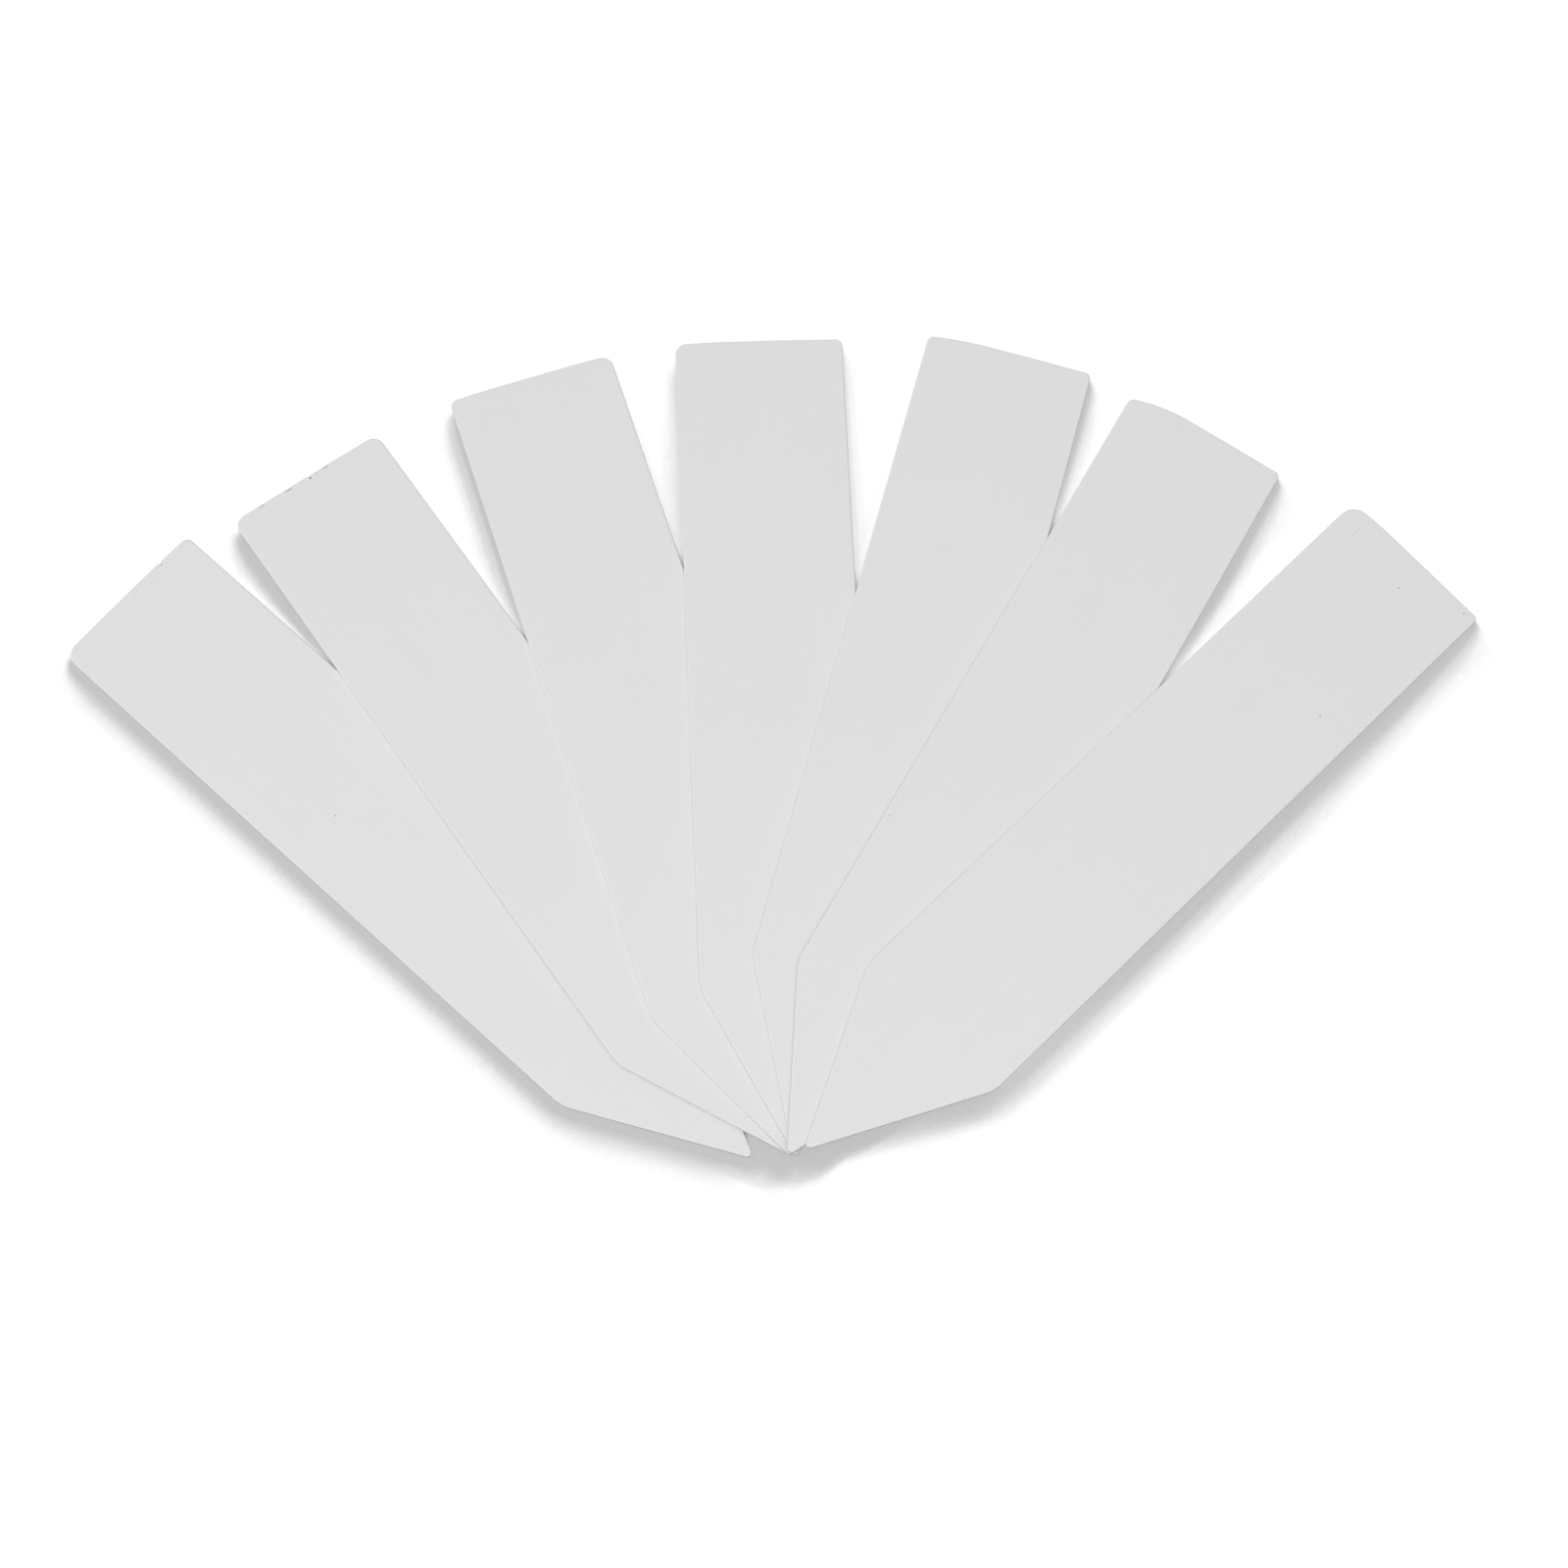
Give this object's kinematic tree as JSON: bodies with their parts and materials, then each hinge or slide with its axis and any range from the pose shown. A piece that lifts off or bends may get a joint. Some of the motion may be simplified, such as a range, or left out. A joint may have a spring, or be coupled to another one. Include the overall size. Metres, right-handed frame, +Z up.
{
  "type": "plant label stake set",
  "caption": "Fanned pile of flat white plastic plant labels, each a blank writing strip with a point to push into soil.",
  "frame": {"origin": "on the table, under the middle of the fan's bounding box", "axes": "+X across the fan from the bottom label to the top one, +Y from the gathered points to the spread heads, +Z up"},
  "size_m": [0.1638, 0.0992, 0.0049],
  "materials": {
    "white_sheet": "plain white plastic sheet, satin writing face, die-cut edges, no print"
  },
  "bodies": {
    "stake_1_bottom": {"stake_1_bottom": "white_sheet"},
    "stake_2": {"stake_2": "white_sheet"},
    "stake_3": {"stake_3": "white_sheet"},
    "stake_4": {"stake_4": "white_sheet"},
    "stake_5": {"stake_5": "white_sheet"},
    "stake_6": {"stake_6": "white_sheet"},
    "stake_7_top": {"stake_7_top": "white_sheet"}
  },
  "joints": [
    {"name": "lift_stake_2", "type": "slide", "parent": "stake_1_bottom", "child": "stake_2", "axis": [0, 0, 1], "range_m": [0, 0.03]},
    {"name": "lift_stake_3", "type": "slide", "parent": "stake_2", "child": "stake_3", "axis": [0, 0, 1], "range_m": [0, 0.03]},
    {"name": "lift_stake_4", "type": "slide", "parent": "stake_3", "child": "stake_4", "axis": [0, 0, 1], "range_m": [0, 0.03]},
    {"name": "lift_stake_5", "type": "slide", "parent": "stake_4", "child": "stake_5", "axis": [0, 0, 1], "range_m": [0, 0.03]},
    {"name": "lift_stake_6", "type": "slide", "parent": "stake_5", "child": "stake_6", "axis": [0, 0, 1], "range_m": [0, 0.03]},
    {"name": "lift_stake_7_top", "type": "slide", "parent": "stake_6", "child": "stake_7_top", "axis": [0, 0, 1], "range_m": [0, 0.03]}
  ]
}
